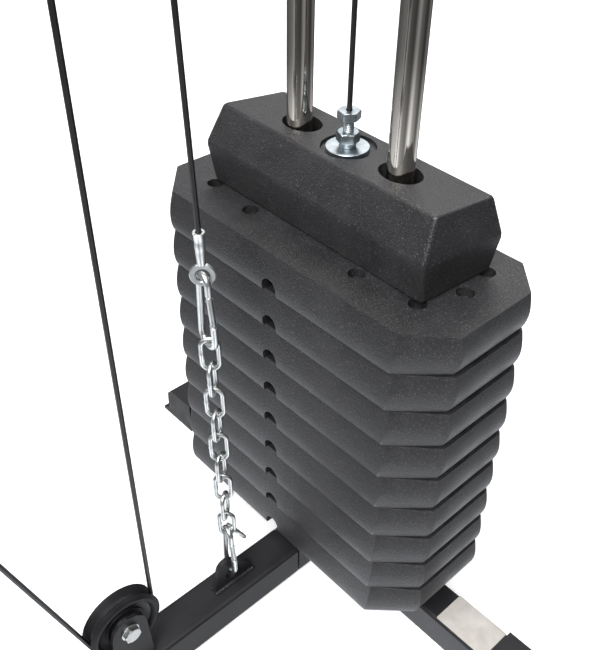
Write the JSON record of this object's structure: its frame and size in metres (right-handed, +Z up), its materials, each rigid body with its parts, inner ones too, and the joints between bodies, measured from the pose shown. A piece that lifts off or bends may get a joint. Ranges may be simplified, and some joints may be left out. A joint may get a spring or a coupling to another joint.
{
  "type": "multi gym",
  "caption": "Home multi gym: guided weight stack with a floating double pulley, lat bar, press arm and a seat with thigh rollers.",
  "frame": {"origin": "floor level, middle of the whole gym's footprint", "axes": "+Z up; +Y to the rear, where the weight stack stands; -Y to the front, where the seat is; +X across"},
  "size_m": [0.9502, 1.5195, 2.02],
  "materials": {
    "frame_paint": "satin powder coat, charcoal",
    "chrome": "polished chrome plating",
    "zinc": "bright zinc plating",
    "vinyl_weight": "fine-grained matt plastic skin, charcoal",
    "black_plastic": "moulded plastic, black",
    "cable_sheath": "smooth nylon sheath, black",
    "rubber_grip": "matt rubber, black",
    "foam": "closed-cell foam, black",
    "upholstery": "grained synthetic leather, black"
  },
  "bodies": {
    "frame": {"rear_cross_tube": "frame_paint", "base_tube": "frame_paint", "main_upright": "frame_paint", "top_boom": "frame_paint", "seat_frame": "frame_paint", "rear_left_foot_cap": "black_plastic", "rear_right_foot_cap": "black_plastic", "front_left_foot_cap": "black_plastic", "front_right_foot_cap": "black_plastic", "left_guide_rod": "chrome", "right_guide_rod": "chrome", "chain": "zinc", "upper_snap_hook": "zinc", "lower_snap_hook": "zinc", "cable_ferrule": "zinc", "weight_plate_6": "vinyl_weight", "weight_plate_7": "vinyl_weight", "weight_plate_8": "vinyl_weight", "weight_plate_9": "vinyl_weight", "lat_fall_cable": "cable_sheath", "high_cable_front_run": "cable_sheath", "block_upper_cable": "cable_sheath", "high_cable_rear_run": "cable_sheath", "stack_fall_cable": "cable_sheath", "low_cable_rear_fall": "cable_sheath", "low_cable_front_fall": "cable_sheath", "low_cable_press_run": "cable_sheath", "press_pull_cable": "cable_sheath", "left_rod_bumper": "rubber_grip", "right_rod_bumper": "rubber_grip", "seat_pad": "upholstery", "backrest_pad": "upholstery"},
    "lifted_stack": {"weight_head": "vinyl_weight", "stack_bolt": "zinc", "selector_rod": "chrome", "weight_plate_1": "vinyl_weight", "weight_plate_2": "vinyl_weight", "weight_plate_3": "vinyl_weight", "weight_plate_4": "vinyl_weight", "weight_plate_5": "vinyl_weight"},
    "selector_pin": {"selector_pin": "black_plastic"},
    "lat_bar": {"lat_bar": "chrome"},
    "floating_block": {"floating_block": "zinc"},
    "press_arm": {"press_arm": "frame_paint", "left_press_grip": "rubber_grip", "right_press_grip": "rubber_grip"},
    "thigh_post": {"thigh_post": "frame_paint", "left_foam_roller": "foam", "right_foam_roller": "foam"},
    "thigh_pin": {"thigh_pin": "black_plastic"},
    "upper_hook_gate": {"upper_hook_gate": "zinc"},
    "lower_hook_gate": {"lower_hook_gate": "zinc"},
    "lat_pulley": {"lat_pulley": "black_plastic"},
    "front_top_pulley": {"front_top_pulley": "black_plastic"},
    "middle_top_pulley": {"middle_top_pulley": "black_plastic"},
    "stack_top_pulley": {"stack_top_pulley": "black_plastic"},
    "block_upper_pulley": {"block_upper_pulley": "black_plastic"},
    "block_lower_pulley": {"block_lower_pulley": "black_plastic"},
    "low_pulley": {"low_pulley": "black_plastic"},
    "press_pulley": {"press_pulley": "black_plastic"}
  },
  "joints": [
    {"name": "stack_lift", "type": "slide", "parent": "frame", "child": "lifted_stack", "axis": [0, 0, 1], "range_m": [0, 0.62], "deforming": ["stack_fall_cable"]},
    {"name": "selector_pin_pull", "type": "slide", "parent": "lifted_stack", "child": "selector_pin", "axis": [0, 1, 0], "range_m": [0, 0.11]},
    {"name": "lat_bar_pull", "type": "slide", "parent": "frame", "child": "lat_bar", "axis": [0, 0, -1], "range_m": [0, 0.62], "deforming": ["lat_fall_cable"]},
    {"name": "press_arm_swing", "type": "hinge", "parent": "frame", "child": "press_arm", "pos_m": [0, -0.20925, 1.9], "axis": [-1, 0, 0], "range_deg": [0, 32], "deforming": ["press_pull_cable"]},
    {"name": "floating_block_travel", "type": "slide", "parent": "frame", "child": "floating_block", "axis": [0, 0, -1], "range_m": [0, 0.1247], "deforming": ["block_upper_cable", "low_cable_front_fall", "low_cable_rear_fall"]},
    {"name": "thigh_bar_height", "type": "slide", "parent": "frame", "child": "thigh_post", "axis": [0, 0, 1], "range_m": [0, 0.1]},
    {"name": "thigh_pin_pull", "type": "slide", "parent": "frame", "child": "thigh_pin", "axis": [0, -1, 0], "range_m": [0, 0.015], "stiffness_N_per_m": 300, "springref_m": -0.005},
    {"name": "upper_gate_hinge", "type": "hinge", "parent": "frame", "child": "upper_hook_gate", "pos_m": [0.00761, 0.47992, 0.47069], "axis": [0.1392, 0.99, 0.0222], "range_deg": [0, 18], "stiffness_Nm_per_rad": 0.05, "springref_deg": -17.19},
    {"name": "lower_gate_hinge", "type": "hinge", "parent": "frame", "child": "lower_hook_gate", "pos_m": [0.00757, 0.4872, 0.12188], "axis": [0.2079, 0.9779, 0.0219], "range_deg": [0, 18], "stiffness_Nm_per_rad": 0.05, "springref_deg": -17.19},
    {"name": "lat_pulley_spin", "type": "hinge", "parent": "frame", "child": "lat_pulley", "pos_m": [0, -0.47125, 1.9235], "axis": [1, 0, 0], "continuous": true},
    {"name": "front_top_pulley_spin", "type": "hinge", "parent": "frame", "child": "front_top_pulley", "pos_m": [0, 0.34605, 1.9235], "axis": [1, 0, 0], "continuous": true},
    {"name": "middle_top_pulley_spin", "type": "hinge", "parent": "frame", "child": "middle_top_pulley", "pos_m": [0, 0.49805, 1.9235], "axis": [1, 0, 0], "continuous": true},
    {"name": "stack_top_pulley_spin", "type": "hinge", "parent": "frame", "child": "stack_top_pulley", "pos_m": [0, 0.61275, 1.9235], "axis": [1, 0, 0], "continuous": true},
    {"name": "block_upper_pulley_spin", "type": "hinge", "parent": "floating_block", "child": "block_upper_pulley", "pos_m": [0, 0.42205, 1.255], "axis": [1, 0, 0], "continuous": true},
    {"name": "block_lower_pulley_spin", "type": "hinge", "parent": "floating_block", "child": "block_lower_pulley", "pos_m": [0, 0.42205, 1.15], "axis": [1, 0, 0], "continuous": true},
    {"name": "low_pulley_spin", "type": "hinge", "parent": "frame", "child": "low_pulley", "pos_m": [0, 0.34605, 0.111], "axis": [1, 0, 0], "continuous": true},
    {"name": "press_pulley_spin", "type": "hinge", "parent": "frame", "child": "press_pulley", "pos_m": [0, -0.12925, 1.41646], "axis": [1, 0, 0], "continuous": true}
  ],
  "couplings": [
    {"joint": "lat_bar_pull", "follows": "stack_lift", "ratio": 1},
    {"joint": "floating_block_travel", "follows": "press_arm_swing", "m_per_rad": 0.2231},
    {"joint": "lat_pulley_spin", "follows": "stack_lift", "rad_per_m": 26.316},
    {"joint": "front_top_pulley_spin", "follows": "stack_lift", "rad_per_m": 26.316},
    {"joint": "middle_top_pulley_spin", "follows": "stack_lift", "rad_per_m": 26.316},
    {"joint": "stack_top_pulley_spin", "follows": "stack_lift", "rad_per_m": 26.316},
    {"joint": "block_upper_pulley_spin", "follows": "stack_lift", "rad_per_m": -26.316},
    {"joint": "block_lower_pulley_spin", "follows": "press_arm_swing", "ratio": 5.8711},
    {"joint": "low_pulley_spin", "follows": "press_arm_swing", "ratio": -11.745},
    {"joint": "press_pulley_spin", "follows": "press_arm_swing", "ratio": 11.745}
  ]
}
